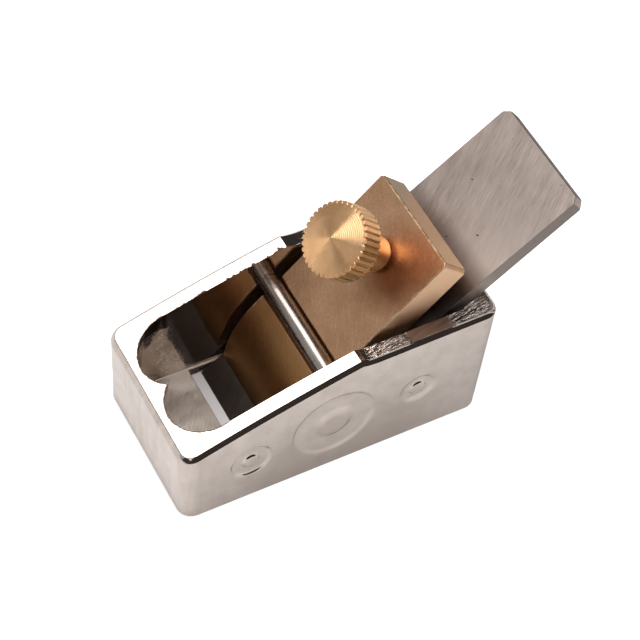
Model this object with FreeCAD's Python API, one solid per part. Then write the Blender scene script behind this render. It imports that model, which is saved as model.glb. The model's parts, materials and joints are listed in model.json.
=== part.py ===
"""Luthier's mini finger plane: plated body, cross pin, blade, brass lever cap and thumb screw.

Millimetres. The origin is the middle of the body's sole: toe towards -X, heel towards +X, +Z up.
Side views are drawn in the XZ plane and extruded across Y.  The bed frame has its origin where
the bed runs out into the sole: `s` runs up the bed and `h` stands square to it.  The cap frame
has its origin on the cross pin's axis: `u` runs up the cap's top face and `n` out of it.
"""
import FreeCAD, Part
import math
import os

Vector = FreeCAD.Vector

# Body
BODY_LENGTH = 46.8
BODY_WIDTH = 24.0
TOE_HEIGHT = 13.35
TOE_LEAN = 0.6           # how far the toe face leans forward from sole to rim
CREST_HEIGHT = 21.55
CREST_FROM_TOE = 25.5
RIM_HEIGHT = 21.2        # rim just behind the crest
HEEL_HEIGHT = 21.6       # the rim rises a little to the heel
CREST_FALL = 3.0         # length of the hollow curve from the crest to the rear rim
NOSE_BULGE = 0.35        # how far the front rim bows above a straight line
CORNER_RADIUS = 2.2
RIM_BEVEL = 0.6
SOLE_BREAK = 0.15
FLOOR = 1.5
WALL = 2.55
LOBE_RADIUS = 5.35       # the two round pockets at the front of the throat
LOBE_CENTRE_FROM_TOE = 6.95
MOUTH_FROM_TOE = 11.55
MOUTH_WIDTH = 18.2
BED_ANGLE = 39.25
BED_RUNOUT_FROM_TOE = 17.27

# Turned rings on the sides: distance from the toe, height, outer radius, boss radius
SIDE_RINGS = [(22.55, 9.75, 6.55, 3.2), (10.2, 8.4, 3.25, 1.4), (35.35, 10.4, 3.0, 1.4)]
RING_DEPTH = 0.35
RING_SLOPE = 0.45

# Cross pin
PIN_RADIUS = 1.5
PIN_UP_BED = 14.32
PIN_ABOVE_BED = 7.89
PIN_IN_WALL = 1.9
PIN_END_GAP = 0.05       # between each end of the pin and the bottom of its bore
PIN_CHAMFER = 0.2

# Blade
BLADE_WIDTH = 17.9
BLADE_THICK = 2.4
BLADE_LENGTH = 56.9
BLADE_BEVEL = 27.0
BLADE_CORNER = 0.9
BLADE_BREAK = 0.12
BED_GAP = 0.02
EDGE_SET_BACK = 0.05     # the cutting edge rests this far inside the mouth

# Lever cap, in the cap frame
CAP_ANGLE = 47.15
CAP_WIDTH = 17.1
CAP_THICK = 4.75
CAP_FACE = 0.12          # top face above the pin's axis
CAP_END = 22.37
CAP_CORNER = 0.5
CAP_BREAK = 0.15
GROOVE_CLEARANCE = 0.05
GROOVE_FLARE = 1.95      # half width of the groove at the top face
GROOVE_FLARE_START = 35.0
NOSE_RADIUS = 15.9
NOSE_START = -3.5        # where the top face begins to curve down into the nose
NOSE_TIP = -13.65
NOSE_LIP = 0.15          # narrow flat between the nose's curve and its underside
NOSE_LAND = 1.0
NOSE_GAP = 0.03
HOLLOW_END = -3.0
HOLLOW_DEPTH = 0.55

# Thumb screw, on an axis square to the cap's top face
SCREW_ALONG = 15.37
HEAD_RADIUS = 5.12
HEAD_HEIGHT = 3.36
HEAD_FACE = 10.17        # rim of the head above the cap's top face
HEAD_POINT = 0.88        # rise of the turned face from rim to centre
KNURLS = 36
KNURL_DEPTH = 0.28
KNURL_SHARE = 0.85       # part of each knurl's pitch taken by the groove
NECK_RADIUS = 2.5
NECK_ROUND = 0.4
NECK_FOOT = 0.6          # gap between the neck and the cap's top face
STUD_RADIUS = 1.95
STUD_SPIGOT_RADIUS = 1.2
STUD_SPIGOT_LENGTH = 3.5
STUD_TIP_RADIUS = 2.5
SPIGOT_GAP = 0.1         # above the spigot, in the head's bore
RUNNING_FIT = 0.05

BED = math.radians(BED_ANGLE)
CAP = math.radians(CAP_ANGLE)
CAP_TO_BED = CAP - BED
HALF_LENGTH = BODY_LENGTH / 2
HALF_WIDTH = BODY_WIDTH / 2
HALF_CAVITY = HALF_WIDTH - WALL


def along(from_toe):
    """X of a distance measured from the toe."""
    return from_toe - HALF_LENGTH


def bed_point(s, h, y=0.0):
    """World point of a place in the bed frame."""
    x = along(BED_RUNOUT_FROM_TOE) + s * math.cos(BED) - h * math.sin(BED)
    return Vector(x, y, s * math.sin(BED) + h * math.cos(BED))


PIN_AXIS = bed_point(PIN_UP_BED, PIN_ABOVE_BED)


def cap_point(u, n, y=0.0):
    """World point of a place in the cap frame."""
    x = PIN_AXIS.x + u * math.cos(CAP) - n * math.sin(CAP)
    return Vector(x, y, PIN_AXIS.z + u * math.sin(CAP) + n * math.cos(CAP))


def blade_face(u):
    """Height in the cap frame of the blade's upper face at a place along the cap."""
    drop = PIN_ABOVE_BED - BLADE_THICK - BED_GAP
    return -drop / math.cos(CAP_TO_BED) - u * math.tan(CAP_TO_BED)


def across(edges, width):
    """Solid of a side outline, extruded across the width and centred on y = 0."""
    face = Part.Face(Part.Wire(edges))
    face.translate(Vector(0, -width / 2, 0))
    return face.extrude(Vector(0, width, 0))


def polygon(points):
    """Straight edges of a closed outline."""
    closed = points + points[:1]
    return [Part.makeLine(a, b) for a, b in zip(closed, closed[1:])]


def arc(start, middle, end):
    return Part.Arc(start, middle, end).toShape()


def edges_where(shape, test):
    """Edges whose middle point passes a test."""
    return [e for e in shape.Edges if test(e.valueAt((e.FirstParameter + e.LastParameter) / 2))]


def save(name, shape):
    """Write one checked solid."""
    if shape.ShapeType != "Solid":
        shape = shape.Solids[0]
    if not shape.isValid():
        raise ValueError(name + " is not a valid solid")
    shape.exportStep("parts/" + name + ".step")


def top_outline():
    """Rim of the body from toe to heel: bowed front, crest, hollow fall and straight rear."""
    toe = Vector(along(0), 0, TOE_HEIGHT)
    crest = Vector(along(CREST_FROM_TOE), 0, CREST_HEIGHT)
    level = Vector(along(CREST_FROM_TOE + CREST_FALL), 0, RIM_HEIGHT)
    heel = Vector(HALF_LENGTH, 0, HEEL_HEIGHT)
    bow = (toe + crest) * 0.5 + Vector(0, 0, NOSE_BULGE)
    drop = RIM_HEIGHT - CREST_HEIGHT
    hollow = crest + Vector(0.4 * CREST_FALL, 0, 0.75 * drop)
    return [arc(toe, bow, crest), arc(crest, hollow, level), Part.makeLine(level, heel)]


def side_ring(from_toe, height, outer, boss, side):
    """Annular cutter with sloped sides for one turned ring on a side of the body."""
    profile = [Vector(boss, 0, 0), Vector(boss + RING_SLOPE, 0, -RING_DEPTH),
               Vector(outer - RING_SLOPE, 0, -RING_DEPTH), Vector(outer, 0, 0),
               Vector(outer + RING_SLOPE, 0, RING_DEPTH), Vector(boss - RING_SLOPE, 0, RING_DEPTH)]
    ring = turned(polygon(profile))
    ring.rotate(Vector(), Vector(1, 0, 0), -90 * side)
    ring.translate(Vector(along(from_toe), side * HALF_WIDTH, height))
    return ring


def throat():
    """Space inside the body: twin round pockets in front, the bed behind, and the mouth."""
    overrun = 5
    reach = 60
    top = CREST_HEIGHT + overrun
    lobe_x = along(LOBE_CENTRE_FROM_TOE)
    lobe_y = HALF_CAVITY - LOBE_RADIUS
    plan = Part.makeBox(BODY_LENGTH, 2 * HALF_CAVITY, top, Vector(lobe_x, -HALF_CAVITY, FLOOR))
    for side in (-1, 1):
        plan = plan.fuse(Part.makeCylinder(LOBE_RADIUS, top, Vector(lobe_x, side * lobe_y, FLOOR)))
    below = bed_point(-overrun, 0)
    slot_top = bed_point(overrun, 0)
    above_bed = polygon([Vector(along(0), 0, -1), below, bed_point(reach, 0),
                         bed_point(reach, reach), Vector(along(0), 0, reach)])
    mouth = polygon([Vector(along(MOUTH_FROM_TOE), 0, -1), below, slot_top,
                     Vector(along(MOUTH_FROM_TOE), 0, slot_top.z)])
    pocket = plan.common(across(above_bed, BODY_WIDTH))
    return pocket.fuse(across(mouth, MOUTH_WIDTH)).removeSplitter()


def plane_body():
    """Plated body: one casting with rounded corners, bevelled rim, throat, bed and mouth."""
    sole_toe = Vector(along(TOE_LEAN), 0, 0)
    sole_heel = Vector(HALF_LENGTH, 0, 0)
    rim = top_outline()
    front = Part.makeLine(sole_toe, Vector(along(0), 0, TOE_HEIGHT))
    rear = Part.makeLine(Vector(HALF_LENGTH, 0, HEEL_HEIGHT), sole_heel)
    block = across([front] + rim + [rear, Part.makeLine(sole_heel, sole_toe)], BODY_WIDTH)
    corners = edges_where(block, lambda m: abs(abs(m.y) - HALF_WIDTH) < 0.01
                          and abs(m.x) > HALF_LENGTH - TOE_LEAN and 1 < m.z < RIM_HEIGHT - 0.5)
    block = block.makeFillet(CORNER_RADIUS, corners)
    sole = edges_where(block, lambda m: m.z < 0.01)
    block = block.makeChamfer(SOLE_BREAK, sole)
    rim_edges = edges_where(block, lambda m: m.z > TOE_HEIGHT - 0.5 and on_outside(m))
    block = block.makeChamfer(RIM_BEVEL, rim_edges)
    block = block.cut(throat())
    for ring in SIDE_RINGS:
        for side in (-1, 1):
            block = block.cut(side_ring(*ring, side))
    bore_reach = HALF_CAVITY + PIN_IN_WALL
    bore = Part.makeCylinder(PIN_RADIUS, 2 * bore_reach, PIN_AXIS - Vector(0, bore_reach, 0),
                             Vector(0, 1, 0))
    return block.cut(bore).removeSplitter()


def on_outside(point):
    """True for the upper outline edge, where the rim meets the outer walls."""
    height = rim_height(point.x)
    return abs(point.z - height) < 0.05 and is_outer(point)


def rim_height(x):
    """Height of the rim at a place along the body."""
    ray = Part.makeLine(Vector(x, 0, 0), Vector(x, 0, 2 * CREST_HEIGHT))
    hits = [edge.distToShape(ray) for edge in top_outline()]
    near = min(hits, key=lambda hit: hit[0])
    return near[1][0][0].z


def is_outer(point):
    """True on the outer walls, rounded corners included."""
    inset = 0.75
    return abs(point.y) > HALF_WIDTH - inset or abs(point.x) > HALF_LENGTH - inset


def cross_pin():
    """Polished pin across the throat, pressed into blind bores in both walls."""
    half = HALF_CAVITY + PIN_IN_WALL - PIN_END_GAP
    pin = Part.makeCylinder(PIN_RADIUS, 2 * half, PIN_AXIS - Vector(0, half, 0), Vector(0, 1, 0))
    return pin.makeChamfer(PIN_CHAMFER, edges_where(pin, lambda m: abs(abs(m.y) - half) < 0.01))


def blade():
    """Steel blade, bevel down, lying on the bed with its edge just inside the mouth."""
    low = -BLADE_THICK / math.tan(BED) + EDGE_SET_BACK
    top = BED_GAP + BLADE_THICK
    heel_of_bevel = low + BLADE_THICK / math.tan(math.radians(BLADE_BEVEL))
    end = low + BLADE_LENGTH
    outline = polygon([bed_point(low, top), bed_point(end, top), bed_point(end, BED_GAP),
                       bed_point(heel_of_bevel, BED_GAP)])
    plate = across(outline, BLADE_WIDTH)
    end_x = bed_point(end, top / 2).x
    corners = edges_where(plate, lambda m: abs(abs(m.y) - BLADE_WIDTH / 2) < 0.01
                          and abs(m.x - end_x) < 0.3)
    plate = plate.makeChamfer(BLADE_CORNER, corners)
    near_end = bed_point(0.75 * end, 0).z
    return plate.makeChamfer(BLADE_BREAK, edges_where(plate, lambda m: m.z > near_end))


def cap_outline():
    """Side outline of the lever cap: flat top, pin groove, curved nose and hollow underside."""
    groove = PIN_RADIUS + GROOVE_CLEARANCE
    flare = math.radians(GROOVE_FLARE_START)
    flare_u = groove * math.cos(flare)
    flare_n = -groove * math.sin(flare)
    nose_centre = CAP_FACE - NOSE_RADIUS

    def nose(u):
        return cap_point(u, nose_centre + math.sqrt(NOSE_RADIUS ** 2 - (u - NOSE_START) ** 2))

    underside = CAP_FACE - CAP_THICK
    land_front = NOSE_TIP + NOSE_LIP
    land_rear = land_front + NOSE_LAND
    nose_end = cap_point(land_front, blade_face(land_front) + NOSE_GAP)
    land_end = cap_point(land_rear, blade_face(land_rear) + NOSE_GAP)
    hollow_end = cap_point(HOLLOW_END, underside)
    hollow_u = (land_rear + HOLLOW_END) / 2
    hollow_n = (blade_face(land_rear) + underside) / 2 + HOLLOW_DEPTH
    points = {
        "end_top": cap_point(CAP_END, CAP_FACE), "groove_rear": cap_point(GROOVE_FLARE, CAP_FACE),
        "wall_rear": cap_point(flare_u, flare_n), "bottom": cap_point(0, -groove),
        "wall_front": cap_point(-flare_u, flare_n), "groove_front": cap_point(-GROOVE_FLARE, CAP_FACE),
        "nose_start": cap_point(NOSE_START, CAP_FACE), "tip": nose(NOSE_TIP),
        "end_low": cap_point(CAP_END, underside),
    }
    line = Part.makeLine
    return [
        line(points["end_top"], points["groove_rear"]),
        line(points["groove_rear"], points["wall_rear"]),
        arc(points["wall_rear"], points["bottom"], points["wall_front"]),
        line(points["wall_front"], points["groove_front"]),
        line(points["groove_front"], points["nose_start"]),
        arc(points["nose_start"], nose((NOSE_START + NOSE_TIP) / 2), points["tip"]),
        line(points["tip"], nose_end),
        line(nose_end, land_end),
        arc(land_end, cap_point(hollow_u, hollow_n), hollow_end),
        line(hollow_end, points["end_low"]),
        line(points["end_low"], points["end_top"]),
    ]


def cap_axis(n):
    """Place on the thumb screw's axis at a height above the cap's top face."""
    return cap_point(SCREW_ALONG, CAP_FACE + n)


CAP_NORMAL = Vector(-math.sin(CAP), 0, math.cos(CAP))


def lever_cap():
    """Brass lever cap: hooks under the cross pin and takes the thumb screw."""
    cap = across(cap_outline(), CAP_WIDTH)
    end = cap_point(CAP_END, CAP_FACE - CAP_THICK / 2)
    corners = edges_where(cap, lambda m: m.distanceToPoint(Vector(end.x, m.y, end.z)) < 0.1
                          and abs(m.y) > CAP_WIDTH / 2 - 0.01)
    cap = cap.makeChamfer(CAP_CORNER, corners)
    top = edges_where(cap, lambda m: m.z > cap_point(GROOVE_FLARE + 1, -CAP_THICK).z
                      and abs((m - cap_axis(0)).dot(CAP_NORMAL)) < 0.01)
    cap = cap.makeChamfer(CAP_BREAK, top)
    hole = Part.makeCylinder(STUD_RADIUS + RUNNING_FIT, 2 * CAP_THICK, cap_axis(-1.5 * CAP_THICK),
                             CAP_NORMAL)
    return cap.cut(hole)


def turned(profile):
    """Solid turned about the Z axis from the edges of half its section."""
    return Part.Face(Part.Wire(profile)).revolve(Vector(), Vector(0, 0, 1), 360)


def on_screw_axis(solid):
    """Stand a solid on the cap's top face with its Z axis along the thumb screw's axis."""
    place = FreeCAD.Placement(cap_axis(0), FreeCAD.Rotation(Vector(0, 1, 0), -CAP_ANGLE))
    solid.transformShape(place.toMatrix())
    return solid


def knurl_cutter():
    """V-shaped cutter for one straight groove in the head's rim, standing along the axis."""
    half = KNURL_SHARE * math.pi * HEAD_RADIUS / KNURLS
    outside = 2 * KNURL_DEPTH
    tooth = polygon([Vector(HEAD_RADIUS - KNURL_DEPTH, 0, 0),
                     Vector(HEAD_RADIUS + outside, half * 3, 0),
                     Vector(HEAD_RADIUS + outside, -half * 3, 0)])
    cutter = Part.Face(Part.Wire(tooth)).extrude(Vector(0, 0, 2 * HEAD_HEIGHT))
    cutter.translate(Vector(0, 0, HEAD_FACE - 1.5 * HEAD_HEIGHT))
    return cutter


def screw_knob():
    """Brass head with a coarse straight knurl, and the neck below it, bored for the stud."""
    bore = STUD_SPIGOT_RADIUS + RUNNING_FIT
    bore_top = NECK_FOOT + STUD_SPIGOT_LENGTH + SPIGOT_GAP
    under = HEAD_FACE - HEAD_HEIGHT
    round_middle = NECK_ROUND * (1 - math.sqrt(0.5))
    neck_edge = arc(Vector(NECK_RADIUS, 0, NECK_FOOT + NECK_ROUND),
                    Vector(NECK_RADIUS - round_middle, 0, NECK_FOOT + round_middle),
                    Vector(NECK_RADIUS - NECK_ROUND, 0, NECK_FOOT))
    corners = [Vector(NECK_RADIUS - NECK_ROUND, 0, NECK_FOOT), Vector(bore, 0, NECK_FOOT),
               Vector(bore, 0, bore_top), Vector(0, 0, bore_top),
               Vector(0, 0, HEAD_FACE + HEAD_POINT), Vector(HEAD_RADIUS, 0, HEAD_FACE),
               Vector(HEAD_RADIUS, 0, under), Vector(NECK_RADIUS, 0, under),
               Vector(NECK_RADIUS, 0, NECK_FOOT + NECK_ROUND)]
    straight = [Part.makeLine(a, b) for a, b in zip(corners, corners[1:])]
    knob = turned(straight + [neck_edge])
    cutters = []
    for tooth in range(KNURLS):
        cutter = knurl_cutter()
        cutter.rotate(Vector(), Vector(0, 0, 1), 360 * tooth / KNURLS)
        cutters.append(cutter)
    return on_screw_axis(knob.cut(Part.makeCompound(cutters)))


def screw_stud():
    """Threaded stud of the thumb screw: turns in the cap and bears on the blade, domed tip."""
    dome = STUD_TIP_RADIUS - math.sqrt(STUD_TIP_RADIUS ** 2 - STUD_RADIUS ** 2)
    clear = (STUD_TIP_RADIUS + NOSE_GAP) / math.cos(CAP_TO_BED)
    tip = blade_face(SCREW_ALONG) + clear - STUD_TIP_RADIUS - CAP_FACE
    part_way = math.radians(20)
    shoulder = tip + dome
    spigot_top = NECK_FOOT + STUD_SPIGOT_LENGTH
    corners = [Vector(STUD_RADIUS, 0, shoulder), Vector(STUD_RADIUS, 0, NECK_FOOT - RUNNING_FIT),
               Vector(STUD_SPIGOT_RADIUS, 0, NECK_FOOT - RUNNING_FIT),
               Vector(STUD_SPIGOT_RADIUS, 0, spigot_top), Vector(0, 0, spigot_top),
               Vector(0, 0, tip)]
    dome_edge = arc(Vector(0, 0, tip),
                    Vector(STUD_TIP_RADIUS * math.sin(part_way), 0,
                           tip + STUD_TIP_RADIUS * (1 - math.cos(part_way))),
                    Vector(STUD_RADIUS, 0, shoulder))
    straight = [Part.makeLine(a, b) for a, b in zip(corners, corners[1:])]
    return on_screw_axis(turned(straight + [dome_edge]))


os.makedirs("parts", exist_ok=True)
save("plane_body", plane_body())
save("cross_pin", cross_pin())
save("blade", blade())
save("lever_cap", lever_cap())
save("screw_knob", screw_knob())
save("screw_stud", screw_stud())
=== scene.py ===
"""Looks of the mini finger plane: plated body, ground blade, brass lever cap and knurled thumb screw.

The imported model's frame is in metres.  Shapes and directions come from its nodes and joints.  Sizes of
small features, and where a material's marks lie, are written in millimetres and scaled by MM.
"""

import json
import math

import bmesh
import bpy
from mathutils import Matrix, Vector


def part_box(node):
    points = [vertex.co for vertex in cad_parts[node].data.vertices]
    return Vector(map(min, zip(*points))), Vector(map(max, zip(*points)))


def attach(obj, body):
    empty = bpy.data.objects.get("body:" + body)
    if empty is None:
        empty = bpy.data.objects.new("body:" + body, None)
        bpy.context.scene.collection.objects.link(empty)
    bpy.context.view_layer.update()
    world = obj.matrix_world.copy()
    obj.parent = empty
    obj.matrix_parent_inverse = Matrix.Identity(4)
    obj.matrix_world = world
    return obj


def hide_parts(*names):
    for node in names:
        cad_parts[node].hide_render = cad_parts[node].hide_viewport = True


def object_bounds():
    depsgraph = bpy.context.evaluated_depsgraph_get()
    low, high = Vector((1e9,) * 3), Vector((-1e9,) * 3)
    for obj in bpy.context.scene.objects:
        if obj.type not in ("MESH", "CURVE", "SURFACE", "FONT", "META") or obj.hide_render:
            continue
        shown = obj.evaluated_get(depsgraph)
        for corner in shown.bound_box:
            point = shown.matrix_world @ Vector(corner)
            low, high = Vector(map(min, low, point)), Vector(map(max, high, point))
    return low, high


MM = 0.001

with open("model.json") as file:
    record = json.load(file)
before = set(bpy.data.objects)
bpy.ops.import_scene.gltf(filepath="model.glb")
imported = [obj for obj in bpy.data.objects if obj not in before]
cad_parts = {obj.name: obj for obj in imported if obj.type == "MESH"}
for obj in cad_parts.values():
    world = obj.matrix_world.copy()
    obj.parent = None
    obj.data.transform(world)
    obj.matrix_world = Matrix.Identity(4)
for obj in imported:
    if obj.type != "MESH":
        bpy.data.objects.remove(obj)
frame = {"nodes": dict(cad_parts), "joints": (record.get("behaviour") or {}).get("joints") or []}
cad_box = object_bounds()
JOINTS = {joint["name"]: joint for joint in frame["joints"]}
ACROSS = Vector((0, 1, 0))

BED_DIRECTION = Vector(JOINTS["blade_slide"]["axis"]).normalized()
SCREW_DIRECTION = Vector(JOINTS["screw_turn"]["axis"]).normalized()
SCREW_FOOT = Vector(JOINTS["screw_turn"]["pos_m"])      # where the screw's axis leaves the cap's top


# ---------------------------------------------------------------------------------------------
# Frames of the slanted pieces

def placement(x_axis, z_axis, origin):
    """Matrix whose X and Z lie along two square directions."""
    y_axis = z_axis.cross(x_axis)
    rows = Matrix((x_axis, y_axis, z_axis)).transposed().to_4x4()
    return Matrix.Translation(origin) @ rows


BED_NORMAL = BED_DIRECTION.cross(ACROSS)
CAP_UP = ACROSS.cross(SCREW_DIRECTION)
CAP_FRAME = placement(CAP_UP, SCREW_DIRECTION, SCREW_FOOT)
BLADE_LOW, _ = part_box("blade")
EDGE = Vector((BLADE_LOW.x, 0, BLADE_LOW.z))
BLADE_FRAME = placement(BED_DIRECTION, BED_NORMAL, EDGE)


# ---------------------------------------------------------------------------------------------
# Sizes in millimetres

HALF_WIDTH = 12.0          # of the body
BLADE_LENGTH = 56.9
BODY_EDGE = 0.09           # width of the rounding on each piece's sharp edges
PIN_EDGE = 0.05
BLADE_EDGE = 0.05
CAP_EDGE = 0.09
WELD = 0.0005              # points of a CAD mesh closer than this are one
FLAT_ANGLE = 0.4           # degrees: faces that turn less are joined
SHARP_ANGLE = 14.0         # degrees: edges that turn more are rounded
EDGE_SEGMENTS = 2

# Turned rings on the sides: place along the body, height, outer radius, boss radius, depth, and the
# widths of the outer and the boss's slopes
RINGS = [(-0.85, 9.75, 6.55, 3.2, 0.30, 0.8, 1.3), (-13.2, 8.4, 3.25, 1.4, 0.32, 0.6, 0.45),
         (11.95, 10.4, 3.0, 1.4, 0.30, 0.9, 0.45)]
RING_MARGIN = 0.12         # how far past a ring's radius its CAD steps are looked for
RING_SINK = 0.2            # and how far below its groove
RING_ROWS = 24

# Thumb screw's head, in heights above the lever cap's top face
KNURLS = 36
KNURL_STEPS = 8            # points round the rim for each knurl
KNURL_DEPTH = 0.32
KNURL_RIDGE = 0.5          # share of a knurl that is flat ridge
HEAD_RADIUS = 5.12
HEAD_FACE = 10.17
HEAD_HEIGHT = 3.36
HEAD_POINT = 0.86          # rise of the coned face
UNDERSIDE_RADIUS = 4.3     # where the knurls have run out under the head
FACE_EDGE = HEAD_RADIUS - 0.18
FACE_GROOVES = 17
GROOVE_SHARE = 0.55        # where in each step of the face its groove lies
GROOVE_DROP = 0.025
SMOOTH_RADIUS = 4.8        # the face is shaded smooth inside this
LEVEL_EDGE = 1e-4          # an edge that rises less than this goes round the axis
NECK_RADIUS = 2.5
NECK_FOOT = 0.6
BORE_RADIUS = 1.25
BORE_TOP = NECK_FOOT + 3.6

# Threaded stud
STUD_RADIUS = 1.95
STUD_STEPS = 36
TIP = ((0, 0), (0.8, 0.13), (1.35, 0.42), (1.6, 0.7))     # radius and height of the domed tip
THREAD_START = 0.95        # height above the tip
THREAD_PITCH = 0.7
THREAD_DEPTH = 0.4
THREAD_ROWS = 6            # rows of points for each pitch
THREAD_RUN_IN = 0.3        # radius that the first turn lacks
SPIGOT_RADIUS = 1.2
SPIGOT_GAP = 0.05


# ---------------------------------------------------------------------------------------------
# Mesh helpers

def link(name, mesh, body, material):
    """Object of a finished mesh, riding on a body, with its finish."""
    piece = bpy.data.objects.new(name, mesh)
    bpy.context.scene.collection.objects.link(piece)
    mesh.materials.clear()
    mesh.materials.append(material)
    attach(piece, body)
    return piece


def shade_by_area(piece):
    """Smooth shading in which the large flat faces stay flat and only the edges turn."""
    for face in piece.data.polygons:
        face.use_smooth = True
    weighted = piece.modifiers.new("weighted_normals", "WEIGHTED_NORMAL")
    weighted.mode = "FACE_AREA"
    weighted.weight = 100
    weighted.keep_sharp = False


def softened(node, edge):
    """Copy of a CAD node's mesh with its sharp edges rounded over, left open for more work."""
    shape = bmesh.new()
    shape.from_mesh(frame["nodes"][node].data)
    bmesh.ops.remove_doubles(shape, verts=shape.verts, dist=WELD * MM)
    bmesh.ops.dissolve_limit(shape, angle_limit=math.radians(FLAT_ANGLE), verts=shape.verts,
                             edges=shape.edges)
    limit = math.radians(SHARP_ANGLE)
    sharp = [e for e in shape.edges if len(e.link_faces) == 2 and e.calc_face_angle(0) > limit]
    bmesh.ops.bevel(shape, geom=sharp, offset=edge * MM, offset_type="OFFSET", segments=EDGE_SEGMENTS,
                    profile=0.5, affect="EDGES", clamp_overlap=True)
    return shape


def finished(shape, name):
    """Mesh of a worked shape."""
    bmesh.ops.recalc_face_normals(shape, faces=shape.faces)
    mesh = bpy.data.meshes.new(name)
    shape.to_mesh(mesh)
    shape.free()
    return mesh


def revolved(profile, steps, inset):
    """Closed mesh turned about Z from (radius, height, share) points, first and last on the axis.

    inset(turn, height) is how far the surface lies inside the radius where the share is 1.  The UV map
    "around" runs round the axis.
    """
    shape = bmesh.new()
    rings = []
    for radius, height, share in profile:
        if radius == 0:
            rings.append([shape.verts.new((0, 0, height))])
            continue
        ring = []
        for step in range(steps):
            turn = 2 * math.pi * step / steps
            r = radius - share * inset(turn, height)
            ring.append(shape.verts.new((r * math.cos(turn), r * math.sin(turn), height)))
        rings.append(ring)
    around = shape.loops.layers.uv.new("around")
    for row, (low, high) in enumerate(zip(rings, rings[1:])):
        for step in range(steps):
            after = (step + 1) % steps
            corners = [(low[step % len(low)], step, row), (low[after % len(low)], step + 1, row),
                       (high[after % len(high)], step + 1, row + 1),
                       (high[step % len(high)], step, row + 1)]
            unique = {}
            for vert, u, v in corners:
                unique.setdefault(vert, (u / steps, v / len(rings)))
            face = shape.faces.new(list(unique))
            for loop in face.loops:
                loop[around].uv = unique[loop.vert]
    return shape


# ---------------------------------------------------------------------------------------------
# Materials

# Sockets of a colour mix, which share their names and so go by number
MIX_SHARE, MIX_FIRST, MIX_SECOND, MIX_COLOR = 0, 6, 7, 2


class Nodes:
    """Short hand for building one node material.  Its methods take and give millimetres."""

    def __init__(self, name, slant=None):
        self.material = bpy.data.materials.new(name)
        self.material.use_nodes = True
        self.tree = self.material.node_tree
        self.shader = self.tree.nodes["Principled BSDF"]
        self.place = self.node("TexCoord").outputs["Object"]      # still in metres
        if slant is not None:
            slanted = self.node("Mapping", {"Vector": self.place,
                                            "Location": tuple(slant.to_translation()),
                                            "Rotation": tuple(slant.to_euler())}, vector_type="TEXTURE")
            self.place = slanted.outputs[0]

    def node(self, kind, inputs=None, **settings):
        made = self.tree.nodes.new("ShaderNode" + kind)
        for key, value in settings.items():
            setattr(made, key, value)
        for key, value in (inputs or {}).items():
            self.put(made.inputs[key], value)
        return made

    def put(self, socket, value):
        """Link a socket to another, or give it a fixed value."""
        if isinstance(value, bpy.types.NodeSocket):
            self.tree.links.new(value, socket)
        else:
            socket.default_value = value

    def moved(self, scale=(1, 1, 1), turn=(0, 0, 0), shift=(0, 0, 0)):
        """Coordinates, shifted, turned and then stretched."""
        placed = self.node("Mapping", {"Vector": self.place, "Rotation": turn,
                                       "Location": tuple(v * MM for v in shift),
                                       "Scale": tuple(MM / s for s in scale)}, vector_type="TEXTURE")
        return placed.outputs[0]

    def axes(self):
        """The three coordinates."""
        return self.node("SeparateXYZ", {"Vector": self.moved()}).outputs[:3]

    def noise(self, where, scale=1.0, detail=3.0, rough=0.5):
        made = self.node("TexNoise", {"Vector": where, "Scale": scale, "Detail": detail,
                                      "Roughness": rough, "Distortion": 0.0})
        return made.outputs["Fac"]

    def rings(self, where, scale, distortion, detail):
        """Waves in rings round Z."""
        made = self.node("TexWave", {"Vector": where, "Scale": scale, "Distortion": distortion,
                                     "Detail": detail}, wave_type="RINGS", rings_direction="Z")
        return made.outputs["Fac"]

    def ramp(self, value, low, high, bottom=0.0, top=1.0):
        """Value mapped from low..high to bottom..top, and held there."""
        made = self.node("MapRange", {"Value": value, "From Min": low, "From Max": high,
                                      "To Min": bottom, "To Max": top})
        return made.outputs["Result"]

    def zone(self, value, low, high, soft):
        """One between two values and nothing outside them, with soft ends."""
        rise = self.ramp(value, low - soft, low + soft)
        return self.times(rise, self.ramp(value, high - soft, high + soft, 1.0, 0.0))

    def outside(self, mask):
        """What a mask leaves over."""
        return self.ramp(mask, 0, 1, 1.0, 0.0)

    def math(self, operation, first, second=0.0):
        made = self.node("Math", operation=operation)
        self.put(made.inputs[0], first)
        self.put(made.inputs[1], second)
        return made.outputs[0]

    def times(self, *values):
        total = values[0]
        for value in values[1:]:
            total = self.math("MULTIPLY", total, value)
        return total

    def plus(self, *values):
        total = values[0]
        for value in values[1:]:
            total = self.math("ADD", total, value)
        return total

    def minus(self, first, second):
        return self.math("SUBTRACT", first, second)

    def larger(self, first, second):
        return self.math("MAXIMUM", first, second)

    def unsigned(self, value):
        return self.math("ABSOLUTE", value)

    def distance(self, first, second):
        """Length of the way that goes so far along each of two axes."""
        way = self.node("CombineXYZ", {0: first, 1: second}).outputs[0]
        return self.node("VectorMath", {0: way}, operation="LENGTH").outputs["Value"]

    def mix(self, share, first, second):
        """Colour between two others."""
        made = self.node("Mix", data_type="RGBA")
        self.put(made.inputs[MIX_SHARE], share)
        self.put(made.inputs[MIX_FIRST], first)
        self.put(made.inputs[MIX_SECOND], second)
        return made.outputs[MIX_COLOR]

    def layered(self, tint, *layers):
        """Colour with others laid over it in turn, each through its mask."""
        for mask, over in layers:
            tint = self.mix(mask, tint, over)
        return tint

    def bump(self, height):
        """Normal of a height."""
        return self.node("Bump", {"Height": height, "Distance": MM, "Strength": 1.0}).outputs[0]

    def finish(self, color, roughness, normal=None, metallic=1.0):
        self.put(self.shader.inputs["Base Color"], color)
        self.put(self.shader.inputs["Roughness"], roughness)
        self.shader.inputs["Metallic"].default_value = metallic
        if normal is not None:
            self.put(self.shader.inputs["Normal"], normal)
        return self.material


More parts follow.
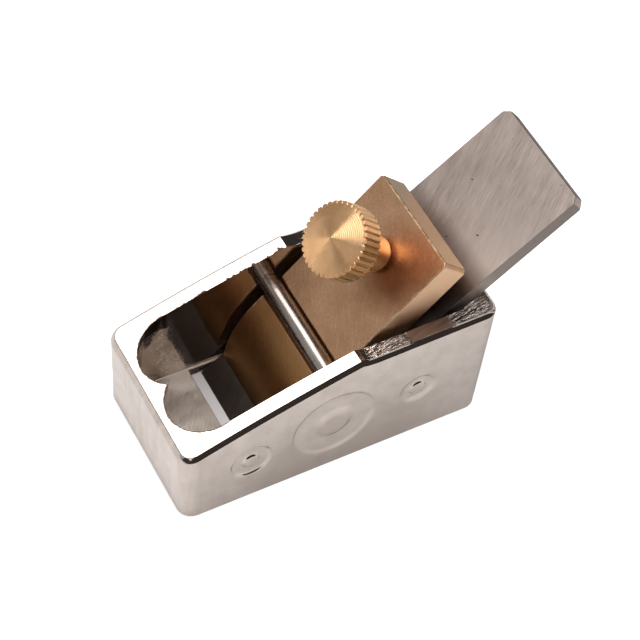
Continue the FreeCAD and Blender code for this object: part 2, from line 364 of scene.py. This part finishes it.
# Linear colours of the plating, of its marks, and of the painted shade and painted reflection on it
NICKEL = (0.70, 0.62, 0.565, 1)
NICKEL_HAZED = (0.60, 0.52, 0.465, 1)
# Painted shade low on the front pockets' walls
NICKEL_POCKET_SHADE = (0.26, 0.20, 0.155, 1)
NICKEL_BANDED = (0.46, 0.39, 0.34, 1)
# Painted shade on the sides' low middle
NICKEL_LOW_SIDE_SHADE = (0.44, 0.37, 0.32, 1)
NICKEL_FLOOR = (0.60, 0.53, 0.465, 1)
NICKEL_FROSTED = (0.70, 0.63, 0.57, 1)
NICKEL_BURNT = (0.09, 0.06, 0.045, 1)
# Painted reflection of the brass lever cap in the rear rim
NICKEL_BRASS_REFLECTION = (0.30, 0.215, 0.17, 1)

# Places on the body.  A pair holds the two ends of a soft step.
THROAT_HALF_WIDTH = 9.7
THROAT_FRONT = (-22.4, -22.0)
FLOOR_LEVELS = (1.0, 1.72)
REAR_RIM_START = (2.3, 2.8)
REAR_RIM_LEVEL = (20.7, 20.8)
REAR_RIM_FLAT = (2.8, 4.6)
REAR_RIM_BEVEL = (11.5, 11.36)
# Span along the rear rim of the painted reflection of the lever cap
BRASS_REFLECTION_SPAN = (10.6, 17.6)
POCKET_CENTRE = (-16.45, 4.1)         # of the far front pocket's round; the near one mirrors it
POCKET_OUTLINE = (5.3, 5.78)


def throat_marks(n, x, y, z):
    """Masks in the throat: all of it, its ground floor, and painted shade low on the front pockets' walls.
    """
    within = n.times(n.zone(y, -THROAT_HALF_WIDTH, THROAT_HALF_WIDTH, 0.15), n.ramp(x, *THROAT_FRONT))
    floor = n.times(within, n.zone(z, *FLOOR_LEVELS, 0.08))
    # Painted shade: the front pockets' walls are darker low down
    pocket_shade = n.times(within, n.ramp(x, -12.5, -15.0), n.ramp(z, 14.0, 9.0), 0.9)
    return within, floor, pocket_shade


def rear_rim_marks(n, x, y, z):
    """Masks on the rear rim: all of it, a painted reflection of the brass lever cap, and how deep the
    file's streaks are.
    """
    rear = n.times(n.ramp(x, *REAR_RIM_START), n.ramp(z, *REAR_RIM_LEVEL))
    flat = n.times(n.ramp(n.unsigned(y), *REAR_RIM_BEVEL), n.ramp(x, *REAR_RIM_FLAT))
    place = n.plus(x, n.times(n.noise(n.moved((0.4, 1, 1)), 1.6, 4.0, 0.7), 2.4))
    # Painted reflection of the brass lever cap in the rear rim
    brass_reflection = n.times(rear, flat, n.ramp(y, -8, -9), n.zone(place, *BRASS_REFLECTION_SPAN, 0.35))
    filed = n.times(rear, flat, n.ramp(y, -9, 9, 1.0, 0.3),
                    n.plus(n.ramp(place, 8.6, 11.2, 0.5, 0.05), n.ramp(place, 17.2, 18.0, 0.0, 0.6)))
    return rear, brass_reflection, filed


def side_marks(n, x, y, z, within):
    """Masks outside the throat: upright bands towards the toe, and painted shade on the sides' low middle.
    """
    upright = n.ramp(n.noise(n.moved((1, 1, 0.05)), 0.8, 3.0, 0.6), 0.42, 0.68)
    banded = n.times(n.ramp(x, -15, -22), n.outside(within), upright, 0.45)
    # Painted shade: the sides are darker in their low middle
    low_side_shade = n.times(n.ramp(n.unsigned(y), 11.7, 11.9), n.ramp(z, 15, 7), n.ramp(x, -16, -8),
                       n.ramp(x, 17, 10), 0.5)
    return banded, low_side_shade


def frost_mark(n, x, y, z, within):
    """Mask of the frost on the far wall: a speckled patch in the pocket, and a fogged streak behind it."""
    patch = n.times(within, n.zone(x, -21.8, -15.0, 1.0), n.ramp(y, 3.5, 5.5), n.zone(z, 9.5, 13.5, 1.0))
    clumps = n.plus(n.noise(n.moved(), 0.4, 2.0), n.times(n.noise(n.moved(), 3.2, 3.0), 0.6))
    speckle = n.ramp(clumps, 0.78, 0.90)
    slanting = n.plus(x, n.times(z, 0.42))
    clouds = n.plus(n.noise(n.moved(), 2.6, 4.0, 0.7), n.times(z, -0.022))
    fog = n.times(within, n.ramp(y, 5.5, 7.0), n.zone(slanting, -14.4, -10.8, 0.9),
                  n.ramp(clouds, 0.30, 0.46))
    return n.larger(n.times(patch, speckle), fog)


def worn_marks(n, x, y, z):
    """Masks of worn plating: ragged along the far rim's inner edge, and a dark line round the pockets."""
    teeth = n.noise(n.moved((1, 0.12, 0.2)), 1.5, 4.0, 0.7)
    inner = n.plus(y, n.times(teeth, -2.2))
    ragged = n.times(n.zone(x, -14.5, 2.4, 1.0), n.ramp(inner, 8.52, 8.42), n.ramp(y, 9.46, 9.48),
                     n.ramp(z, 15.0, 15.5))
    centre_x, centre_y = POCKET_CENTRE
    from_centre = n.distance(n.minus(x, centre_x), n.minus(n.unsigned(y), centre_y))
    wavering = n.plus(from_centre, n.times(n.noise(n.moved(), 1.2, 4.0, 0.7), 0.5))
    burnt = n.times(n.zone(wavering, *POCKET_OUTLINE, 0.04), n.ramp(z, 13.0, 13.2),
                    n.ramp(x, -15.2, -15.8))
    return ragged, burnt


def plated_material():
    """Bright nickel plating over a hand-worked casting: waves and haze all over, and the marks above."""
    n = Nodes("plated_body")
    x, y, z = n.axes()
    wave = n.noise(n.moved(), 0.16, 2.0)
    haze = n.noise(n.moved(), 0.35, 4.0, 0.6)
    scratch = n.noise(n.moved((0.15, 1, 1), (0, 0.2, 0.35)), 9.0, 2.0)
    streaks = n.noise(n.moved((0.05, 1, 1), (0, 0, 0.2)), 1.9, 3.0, 0.6)
    strokes = n.noise(n.moved((0.08, 1, 1), (0, 0, 0.9)), 4.5, 3.0, 0.6)
    within, floor, pocket_shade = throat_marks(n, x, y, z)
    rear, brass_reflection, filed = rear_rim_marks(n, x, y, z)
    banded, low_side_shade = side_marks(n, x, y, z, within)
    frost = frost_mark(n, x, y, z, within)
    ragged, burnt = worn_marks(n, x, y, z)
    tint = n.mix(n.ramp(haze, 0.35, 0.7), NICKEL, NICKEL_HAZED)
    tint = n.layered(tint, (pocket_shade, NICKEL_POCKET_SHADE), (banded, NICKEL_BANDED), (low_side_shade, NICKEL_LOW_SIDE_SHADE),
                     (floor, NICKEL_FLOOR), (frost, NICKEL_FROSTED),
                     (n.larger(ragged, burnt), NICKEL_BURNT), (brass_reflection, NICKEL_BRASS_REFLECTION))
    polish = n.plus(n.ramp(haze, 0.3, 0.75, 0.08, 0.18), n.times(rear, -0.03))
    rough = n.plus(polish, n.times(brass_reflection, 0.22), n.times(floor, n.ramp(y, 0, -3, 0.24, 0.12)),
                   n.times(frost, 0.36), n.times(ragged, 0.4))
    height = n.plus(n.times(wave, 0.15), n.times(scratch, 0.002), n.times(streaks, filed),
                    n.times(strokes, floor, 0.05))
    return n.finish(tint, rough, n.bump(height))


# Linear colours of the blade, and places on it: along it from its edge, and across from its middle
STEEL_DARK = (0.33, 0.27, 0.235, 1)
STEEL_LIGHT = (0.68, 0.57, 0.51, 1)
STEEL_SMUDGED = (0.36, 0.285, 0.245, 1)
# Painted highlight on the blade's near side
STEEL_HIGHLIGHT = (0.86, 0.74, 0.66, 1)
STEEL_PITTED = (0.05, 0.045, 0.045, 1)
# Painted shade on the blade in the throat and under the lever cap's rear end
STEEL_SHADED = (0.06, 0.05, 0.043, 1)
# Painted shade on the blade's side faces
STEEL_SIDE_SHADE = (0.15, 0.125, 0.11, 1)
# Painted shade on the blade's end face
STEEL_END_SHADE = (0.08, 0.065, 0.055, 1)
BLADE_SIDE = (8.86, 8.92)
SHADED_LOW = (7, 16)                   # painted shade towards the cutting edge, where the blade runs into the throat; none above
SHADED_BAND = (30, 39.6)               # stands in for the shade of the lever cap's rear end
SHADE_SHARE = 0.85


def blade_material():
    """Ground tool steel: slanting grinding lines, smudges and pits; painted shade and a painted highlight.
    """
    n = Nodes("blade_steel", BLADE_FRAME)
    along, across, _ = n.axes()
    lines = n.noise(n.moved((0.05, 1, 1), (0, 0, math.radians(24))), 8.0, 4.0, 0.7)
    broad = n.noise(n.moved((0.12, 1, 1), (0, 0, math.radians(27))), 0.7, 4.0, 0.6)
    smudge = n.noise(n.moved(), 0.14, 3.0)
    pits = n.noise(n.moved((1, 0.35, 1), (0, 0, math.radians(40))), 1.3, 1.0)
    grinding = n.plus(n.times(lines, 0.65), n.times(broad, 0.35))
    # Painted highlight: the blade is lighter on its near side, away from its top end
    bright = n.times(n.ramp(along, 52, 40), n.ramp(across, 2, -7), 0.6)
    # Painted shade: darker towards the cutting edge in the throat, and in a band by the lever cap's rear
    # end
    painted_shade = n.plus(n.ramp(along, *SHADED_LOW, SHADE_SHARE, 0.0),
                 n.times(n.zone(along, *SHADED_BAND, 2.5), SHADE_SHARE))
    # Painted shade: the blade's side faces are darker where the band above leaves them
    side = n.times(n.ramp(n.unsigned(across), *BLADE_SIDE), n.ramp(painted_shade, 0, 0.8, 0.75, 0.0))
    # Painted shade: the blade's end face is darker
    end = n.ramp(along, BLADE_LENGTH - 0.14, BLADE_LENGTH - 0.08)
    tint = n.mix(n.ramp(grinding, 0.34, 0.66), STEEL_DARK, STEEL_LIGHT)
    tint = n.layered(tint, (n.ramp(smudge, 0.35, 0.7, 0.0, 0.5), STEEL_SMUDGED), (bright, STEEL_HIGHLIGHT),
                     (n.ramp(pits, 0.74, 0.78), STEEL_PITTED), (painted_shade, STEEL_SHADED), (side, STEEL_SIDE_SHADE),
                     (end, STEEL_END_SHADE))
    rough = n.ramp(lines, 0.25, 0.75, 0.30, 0.44)
    return n.finish(tint, rough, n.bump(n.times(lines, 0.025)))


# Linear colours of the lever cap, and places on it: up and across from the screw, and out of its top face
BRASS_DARK = (0.56, 0.325, 0.185, 1)
BRASS_LIGHT = (0.72, 0.435, 0.265, 1)
BRASS_GRAINED = (0.38, 0.20, 0.10, 1)
BRASS_SCRATCHED = (0.85, 0.56, 0.36, 1)
BRASS_NOSE = (0.40, 0.20, 0.07, 1)
# Painted shade on the lever cap's end face
BRASS_END_SHADE = (0.28, 0.185, 0.085, 1)
# Painted light on the lever cap's side faces
BRASS_SIDE_LIGHT = (0.90, 0.60, 0.385, 1)
# Painted shade and dark reflection of the thumb screw's head beside its neck
BRASS_SCREW_SHADE = (0.26, 0.115, 0.05, 1)
BRASS_WORN = (1.0, 0.76, 0.53, 1)
# Centre and edges of the painted shade beside the screw
SCREW_SHADE_CENTRE = (-0.9, -3.4)
SCREW_SHADE_EDGE = (6.8, 3.0)
MILLING_SHIFT = (-9, -5, 0)


def cap_material():
    """Satin brass of the lever cap: tarnished, with painted shade beside the screw, worn bright along its
    top edges, with light scratches and faint milling rings.
    """
    n = Nodes("cap_brass", CAP_FRAME)
    up, sideways, out = n.axes()
    across = n.unsigned(sideways)
    cloud = n.noise(n.moved(), 0.22, 4.0, 0.55)
    scratch = n.noise(n.moved((0.05, 1, 1), (0, 0, math.radians(50))), 6.0, 3.0, 0.6)
    cross = n.noise(n.moved((1, 0.06, 1), (0, 0, math.radians(20))), 7.0, 2.0)
    grain = n.noise(n.moved(), 3.0, 3.0, 0.6)
    milling = n.rings(n.moved((1, 1, 1), (0, 0, 0), MILLING_SHIFT), 0.55, 1.5, 2.0)
    nose = n.ramp(up, -14.0, -18.5, 0.0, 0.85)
    # Painted shade: the cap's end face is darker
    end = n.ramp(up, 6.86, 6.93, 0.0, 0.8)
    # Painted light: the cap's side faces are lighter
    side = n.ramp(across, 8.42, 8.5, 0.0, 0.8)
    # Painted shade: the screw head's shade and dark reflection on the cap's top beside the neck
    screw_shade_x, screw_shade_y = SCREW_SHADE_CENTRE
    from_screw_shade = n.distance(n.minus(up, screw_shade_x), n.minus(sideways, screw_shade_y))
    screw_shade = n.times(n.ramp(n.plus(from_screw_shade, n.times(cloud, 2.5)), *SCREW_SHADE_EDGE),
                    n.ramp(out, -0.1, -0.03), 0.85)
    border = n.larger(n.ramp(across, 8.28, 8.4), n.ramp(up, 6.72, 6.84))
    worn = n.times(border, n.ramp(out, -0.22, -0.14), n.ramp(n.noise(n.moved(), 1.5, 3.0), 0.38, 0.62), 0.6)
    tint = n.mix(n.ramp(cloud, 0.3, 0.7), BRASS_DARK, BRASS_LIGHT)
    tint = n.layered(tint, (n.ramp(grain, 0.35, 0.62, 0.35, 0.0), BRASS_GRAINED),
                     (n.ramp(scratch, 0.56, 0.66, 0.0, 0.4), BRASS_SCRATCHED), (nose, BRASS_NOSE),
                     (end, BRASS_END_SHADE), (side, BRASS_SIDE_LIGHT), (screw_shade, BRASS_SCREW_SHADE), (worn, BRASS_WORN))
    marks = n.plus(n.times(scratch, 0.022), n.times(cross, 0.014), n.times(milling, 0.003))
    rough = n.ramp(scratch, 0.25, 0.75, 0.29, 0.42)
    return n.finish(tint, rough, n.bump(marks))


# Linear colours of the thumb screw, and places on its head
HEAD_DARK = (0.82, 0.47, 0.225, 1)
HEAD_LIGHT = (0.98, 0.615, 0.33, 1)
HEAD_GROOVED = (0.22, 0.12, 0.05, 1)
HEAD_RIDGED = (1.0, 0.70, 0.38, 1)
# Painted shade on the near side of the knurled rim
HEAD_LOWER_SHADE = (0.30, 0.17, 0.07, 1)
STUD_DARK = (0.60, 0.38, 0.18, 1)
STUD_LIGHT = (0.74, 0.50, 0.27, 1)
BELOW_FACE = (10.12, 10.06)           # the head under its face
KNURL_VALLEYS = (4.4, 5.02)
KNURL_TIPS = (5.04, 5.08)


def screw_material():
    """Bright turned brass: tool marks round the axis, and knurls with dark grooves and bright ridges."""
    n = Nodes("screw_brass", CAP_FRAME)
    x, y, height = n.axes()
    turned = n.rings(n.moved(), 1.9, 0.4, 1.0)
    cloud = n.noise(n.moved(), 0.5, 3.0)
    radius = n.distance(x, y)
    below = n.ramp(height, *BELOW_FACE)
    grooves = n.times(n.zone(radius, *KNURL_VALLEYS, 0.04), below, 0.1)
    ridges = n.times(n.ramp(radius, *KNURL_TIPS), below, 0.7)
    # Painted shade: the knurled rim is darker on its near side
    knurl_shade = n.times(n.ramp(radius, 4.9, 5.0), below, n.ramp(y, -2.0, -4.5), 0.85)
    tint = n.mix(n.ramp(cloud, 0.3, 0.7), HEAD_DARK, HEAD_LIGHT)
    tint = n.layered(tint, (grooves, HEAD_GROOVED), (ridges, HEAD_RIDGED), (knurl_shade, HEAD_LOWER_SHADE))
    rough = n.ramp(turned, 0.2, 0.8, 0.30, 0.40)
    n.shader.inputs["Anisotropic"].default_value = 0.88
    n.shader.inputs["Anisotropic Rotation"].default_value = 0.25
    tangent = n.node("Tangent", direction_type="UV_MAP", uv_map="around")
    n.put(n.shader.inputs["Tangent"], tangent.outputs[0])
    return n.finish(tint, rough, n.bump(n.times(turned, 0.003)))


def stud_material():
    """Turned brass of the threaded stud."""
    n = Nodes("stud_brass", CAP_FRAME)
    cloud = n.noise(n.moved(), 0.8, 3.0)
    tint = n.mix(n.ramp(cloud, 0.3, 0.7), STUD_DARK, STUD_LIGHT)
    return n.finish(tint, n.ramp(cloud, 0.3, 0.7, 0.22, 0.34))


# Linear colours of the cross pin
PIN_DARK = (0.38, 0.33, 0.295, 1)
PIN_LIGHT = (0.50, 0.45, 0.41, 1)
# Painted shade towards the pin's far end
PIN_FAR_SHADE = (0.22, 0.17, 0.14, 1)
PIN_MARKED = (0.22, 0.18, 0.16, 1)


def pin_material():
    """Polished steel pin with faint nicks round it, and painted shade towards the far side."""
    n = Nodes("pin_steel")
    _, y, _ = n.axes()
    nicks = n.noise(n.moved((1, 0.12, 1)), 3.0, 2.0)
    marks = n.noise(n.moved((0.3, 1, 0.3)), 2.2, 2.0)
    tint = n.mix(n.ramp(nicks, 0.3, 0.7), PIN_DARK, PIN_LIGHT)
    # Painted shade: the pin is darker towards the far side
    tint = n.layered(tint, (n.ramp(y, -6, 8, 0.0, 0.6), PIN_FAR_SHADE),
                     (n.ramp(marks, 0.70, 0.74), PIN_MARKED))
    height = n.plus(n.times(nicks, 0.003), n.times(marks, 0.01))
    return n.finish(tint, n.ramp(nicks, 0.3, 0.8, 0.22, 0.32), n.bump(height))


# Table: linear colours, and the sole's footprint, a rectangle with rounded corners
TABLE_DARK = (0.90, 0.90, 0.90, 1)
TABLE_LIGHT = (0.92, 0.92, 0.92, 1)
# Painted shadow under the sole
TABLE_SHADOW_UNDER_SOLE = (0.56, 0.54, 0.55, 1)
TABLE_GLOW = 0.78                     # brings the table up to the photo's white ground
FOOT_HALF_LENGTH = 21.2               # to the centres of its corners
FOOT_HALF_WIDTH = 9.8
FOOT_EDGE = (1.3, 2.2)                # way out from there over which the table turns white


def floor_material():
    """Matt white table, brightened for the camera alone.

    It is see-through from below.  Under the sole it carries a painted shadow, and light and mirror images
    pass through it there, so that the sole isn't black.
    """
    n = Nodes("table")
    x, y, _ = n.axes()
    past_end = n.larger(n.minus(n.unsigned(x), FOOT_HALF_LENGTH), 0.0)
    past_side = n.larger(n.minus(n.unsigned(y), FOOT_HALF_WIDTH), 0.0)
    from_foot = n.distance(past_end, past_side)
    beside = n.ramp(from_foot, *FOOT_EDGE)
    mottle = n.noise(n.moved(), 0.05, 2.0)
    tint = n.mix(n.ramp(mottle, 0.3, 0.7), TABLE_DARK, TABLE_LIGHT)
    # Painted shadow: the table is darker under the sole
    tint = n.mix(n.ramp(beside, 0, 1, 0.8, 0.0), tint, TABLE_SHADOW_UNDER_SOLE)
    seen = n.node("LightPath").outputs["Is Camera Ray"]
    n.put(n.shader.inputs["Emission Color"], (1, 1, 1, 1))
    n.put(n.shader.inputs["Emission Strength"], n.times(seen, n.ramp(beside, 0, 1, 0.0, TABLE_GLOW)))
    n.finish(tint, 0.9, metallic=0.0)
    below = n.node("NewGeometry").outputs["Backfacing"]
    under = n.times(n.minus(1.0, seen), n.ramp(from_foot, 1.2, 1.4, 1.0, 0.0))
    clear = n.node("BsdfTransparent").outputs[0]
    shown = n.node("MixShader", {0: n.larger(below, under), 1: n.shader.outputs[0], 2: clear})
    n.put(n.tree.nodes["Material Output"].inputs["Surface"], shown.outputs[0])
    return n.material


PLATED = plated_material()
BLADE_STEEL = blade_material()
CAP_BRASS = cap_material()
SCREW_BRASS = screw_material()
STUD_BRASS = stud_material()
PIN_STEEL = pin_material()


# ---------------------------------------------------------------------------------------------
# Pieces

def smooth(value):
    """Smooth step from 0 to 1."""
    held = min(max(value, 0.0), 1.0)
    return held * held * (3 - 2 * held)


def turn_ring(shape, ring, side):
    """Give one side ring its rounded section: shallow groove round a low boss."""
    place, height, outer, boss, depth, outer_slope, boss_slope = ring
    centre = Vector((place * MM, side * HALF_WIDTH * MM, height * MM))
    reach = (outer + RING_MARGIN) * MM

    def near(vert):
        flat = Vector((vert.co.x - centre.x, 0, vert.co.z - centre.z))
        return flat.length < reach and side * vert.co.y > (HALF_WIDTH - depth - RING_SINK) * MM

    stepped = [f for f in shape.faces if all(near(v) for v in f.verts)]
    bmesh.ops.delete(shape, geom=stepped, context="FACES")
    edge = [v for v in shape.verts if v.is_boundary and near(v)]

    def turn(vert):
        return math.atan2(vert.co.z - centre.z, vert.co.x - centre.x)

    edge.sort(key=turn)
    rows = [edge]
    for step in range(1, RING_ROWS):
        share = 1 - step / RING_ROWS
        row = []
        for vert in edge:
            flat = Vector((vert.co.x - centre.x, 0, vert.co.z - centre.z)) * share
            radius = flat.length / MM
            rim = smooth((outer - radius) / outer_slope)
            sunk = depth * rim * smooth((radius - boss) / boss_slope + 1)
            row.append(shape.verts.new(centre + flat - Vector((0, side * sunk * MM, 0))))
        rows.append(row)
    for wide, narrow in zip(rows, rows[1:]):
        for step, vert in enumerate(wide):
            after = (step + 1) % len(wide)
            shape.faces.new((vert, wide[after], narrow[after], narrow[step]))
    shape.faces.new(rows[-1])


def build_body():
    """Casting with softened edges and rounded rings."""
    shape = softened("plane_body", BODY_EDGE)
    for ring in RINGS:
        for side in (-1, 1):
            turn_ring(shape, ring, side)
    mesh = finished(shape, "plane_body_shell")
    body = link("plane_body_shell", mesh, "body", PLATED)
    shade_by_area(body)
    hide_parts("plane_body")


def build_pin():
    """Cross pin with softened ends."""
    mesh = finished(softened("cross_pin", PIN_EDGE), "cross_pin_polished")
    pin = link("cross_pin_polished", mesh, "body", PIN_STEEL)
    shade_by_area(pin)
    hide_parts("cross_pin")


def build_blade():
    """Blade with softened edges."""
    mesh = finished(softened("blade", BLADE_EDGE), "blade_ground")
    blade = link("blade_ground", mesh, "blade", BLADE_STEEL)
    shade_by_area(blade)
    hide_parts("blade")


def build_cap():
    """Lever cap with softened edges."""
    mesh = finished(softened("lever_cap", CAP_EDGE), "lever_cap_satin")
    cap = link("lever_cap_satin", mesh, "lever_cap", CAP_BRASS)
    shade_by_area(cap)
    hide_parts("lever_cap")


def knurl_depth(turn, _height):
    """How far the knurled rim lies inside its ridges: flat ridges with V grooves between them."""
    share = (turn * KNURLS / (2 * math.pi)) % 1.0
    if share < KNURL_RIDGE:
        return 0.0
    return KNURL_DEPTH * MM * (1 - abs((share - KNURL_RIDGE) / (1 - KNURL_RIDGE) * 2 - 1))


def thread_depth(turn, height):
    """How far the stud's surface lies inside the thread's crests: a right-handed V thread."""
    share = (height / (THREAD_PITCH * MM) - turn / (2 * math.pi)) % 1.0
    return THREAD_DEPTH * MM * abs(2 * share - 1)


def knob_profile():
    """(radius, height, knurl share) from the face's centre over the rim, down the neck and up the bore."""
    points = [(0, HEAD_FACE + HEAD_POINT, 0)]
    for groove in range(1, FACE_GROOVES):
        for step, drop in ((0.0, 0.0), (GROOVE_SHARE, GROOVE_DROP)):
            radius = FACE_EDGE * (groove + step) / (FACE_GROOVES + 1)
            slope = HEAD_POINT * (1 - radius / HEAD_RADIUS)
            points.append((radius, HEAD_FACE + slope - drop, 0))
    points += [(FACE_EDGE - 0.12, HEAD_FACE + 0.04, 0.5), (HEAD_RADIUS - 0.02, HEAD_FACE, 1),
               (HEAD_RADIUS, HEAD_FACE - 0.03, 1)]
    under = HEAD_FACE - HEAD_HEIGHT
    points += [(HEAD_RADIUS, under + 0.15, 1), (HEAD_RADIUS - 0.15, under, 0.8),
               (UNDERSIDE_RADIUS, under, 0), (NECK_RADIUS + 0.25, under, 0),
               (NECK_RADIUS, under - 0.25, 0),
               (NECK_RADIUS, NECK_FOOT + 0.4, 0), (NECK_RADIUS - 0.1, NECK_FOOT + 0.12, 0),
               (NECK_RADIUS - 0.35, NECK_FOOT, 0), (BORE_RADIUS, NECK_FOOT, 0),
               (BORE_RADIUS, BORE_TOP, 0), (0, BORE_TOP, 0)]
    return [(r * MM, z * MM, share) for r, z, share in points]


def build_knob():
    """Knurled head and neck.  The coned face is smooth round the axis, with a sharp edge at each groove."""
    def on_cone(vert):
        return vert.co.z > HEAD_FACE * MM and vert.co.xy.length < SMOOTH_RADIUS * MM

    shape = revolved(knob_profile(), KNURLS * KNURL_STEPS, knurl_depth)
    for face in shape.faces:
        face.smooth = all(on_cone(vert) for vert in face.verts)
    for edge in shape.edges:
        first, second = edge.verts
        edge.smooth = abs(first.co.z - second.co.z) > LEVEL_EDGE * MM
    mesh = finished(shape, "thumb_screw_head")
    mesh.transform(CAP_FRAME)
    knob = link("thumb_screw_head", mesh, "screw_knob", SCREW_BRASS)
    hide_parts("screw_knob")


def stud_profile():
    """(radius, height, thread share) from the stud's domed tip up the thread to its spigot's end."""
    to_cap = CAP_FRAME.inverted()
    heights = [(to_cap @ vert.co).z / MM for vert in frame["nodes"]["screw_stud"].data.vertices]
    tip, top = min(heights), max(heights)
    points = [(radius, tip + rise, 0) for radius, rise in TIP]
    low, high = tip + THREAD_START, NECK_FOOT - SPIGOT_GAP
    rows = int((high - low) / THREAD_PITCH * THREAD_ROWS)
    for row in range(rows + 1):
        share = min(1, row / THREAD_ROWS)
        radius = STUD_RADIUS - THREAD_RUN_IN * (1 - share)
        points.append((radius, low + (high - low) * row / rows, share))
    points += [(SPIGOT_RADIUS, high, 0), (SPIGOT_RADIUS, top, 0), (0, top, 0)]
    return [(r * MM, z * MM, share) for r, z, share in points]


def build_stud():
    """Threaded stud with the spigot that the head turns on."""
    mesh = finished(revolved(stud_profile(), STUD_STEPS, thread_depth), "thumb_screw_stud")
    mesh.transform(CAP_FRAME)
    stud = link("thumb_screw_stud", mesh, "screw_stud", STUD_BRASS)
    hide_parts("screw_stud")


# ---------------------------------------------------------------------------------------------
# Stage, in metres and watts

TABLE_RADIUS = 0.9
TABLE_STEPS = 96
WORLD_LIGHT = (0.045, 0.038, 0.036, 1)      # what the plane mirrors beside the lamps
WORLD_SEEN = (0.90, 0.90, 0.90, 1)          # what the camera sees past the table

# Lamps: name, place, width, height, power
LAMPS = [("softbox_overhead", (-0.20, 0.125, 1.15), 0.72, 1.35, 14.2),
         ("strip_right", (0.47, -0.10, 1.12), 0.2, 0.5, 1.3),
         ("panel_front_left", (-0.85, -0.45, 0.62), 0.6, 0.6, 1.1),
         ("panel_left", (-0.90, 0.60, 0.50), 1.3, 1.3, 2.4)]

# Camera, fitted to the plane's edges in the photo: places in millimetres, roll in degrees
CAMERA_PLACE = (-95.77, -138.93, 238.97)
CAMERA_TARGET = (5.45, 3.94, 10.0)
CAMERA_ROLL = 8.87
CAMERA_LENS = 117.3
SENSOR_WIDTH = 36


def build_floor():
    """Round white table under the sole."""
    shape = bmesh.new()
    bmesh.ops.create_circle(shape, cap_ends=True, segments=TABLE_STEPS, radius=TABLE_RADIUS)
    mesh = bpy.data.meshes.new("table")
    shape.to_mesh(mesh)
    shape.free()
    floor = bpy.data.objects.new("table", mesh)
    floor.location = (0, 0, cad_box[0][2])
    mesh.materials.append(floor_material())
    bpy.context.scene.collection.objects.link(floor)


def soft_light(name, place, width, height, power):
    """Rectangular soft light at a place, facing the plane, its height in line with Y."""
    data = bpy.data.lights.new(name, "AREA")
    data.shape = "RECTANGLE"
    data.size = width
    data.size_y = height
    data.energy = power
    light = bpy.data.objects.new(name, data)
    towards = Vector(place).normalized()
    light.matrix_world = placement(ACROSS.cross(towards).normalized(), towards, Vector(place))
    bpy.context.scene.collection.objects.link(light)


def build_lights():
    """The lamps, and a dark world that is pale where the camera looks straight at it."""
    for name, place, width, height, power in LAMPS:
        soft_light(name, place, width, height, power)
    world = bpy.data.worlds.new("studio")
    bpy.context.scene.world = world
    world.use_nodes = True
    tree = world.node_tree
    background = tree.nodes["Background"]
    path = tree.nodes.new("ShaderNodeLightPath")
    mix = tree.nodes.new("ShaderNodeMix")
    mix.data_type = "RGBA"
    mix.inputs[MIX_FIRST].default_value = WORLD_LIGHT
    mix.inputs[MIX_SECOND].default_value = WORLD_SEEN
    tree.links.new(path.outputs["Is Camera Ray"], mix.inputs[MIX_SHARE])
    tree.links.new(mix.outputs[MIX_COLOR], background.inputs["Color"])


def build_camera():
    """Camera high on the toe's near side, long lens, rolled a little."""
    data = bpy.data.cameras.new("camera")
    data.lens = CAMERA_LENS
    data.sensor_width = SENSOR_WIDTH
    data.clip_start = 0.01
    camera = bpy.data.objects.new("camera", data)
    place = Vector(CAMERA_PLACE) * MM
    look = (Vector(CAMERA_TARGET) * MM - place).normalized()
    turn = look.to_track_quat("-Z", "Y").to_matrix().to_4x4()
    roll = Matrix.Rotation(math.radians(CAMERA_ROLL), 4, "Z")
    camera.matrix_world = Matrix.Translation(place) @ turn @ roll
    bpy.context.scene.collection.objects.link(camera)
    bpy.context.scene.camera = camera


build_body()
build_pin()
build_blade()
build_cap()
build_knob()
build_stud()
build_floor()
build_lights()
build_camera()
bpy.context.scene.view_settings.view_transform = "Standard"
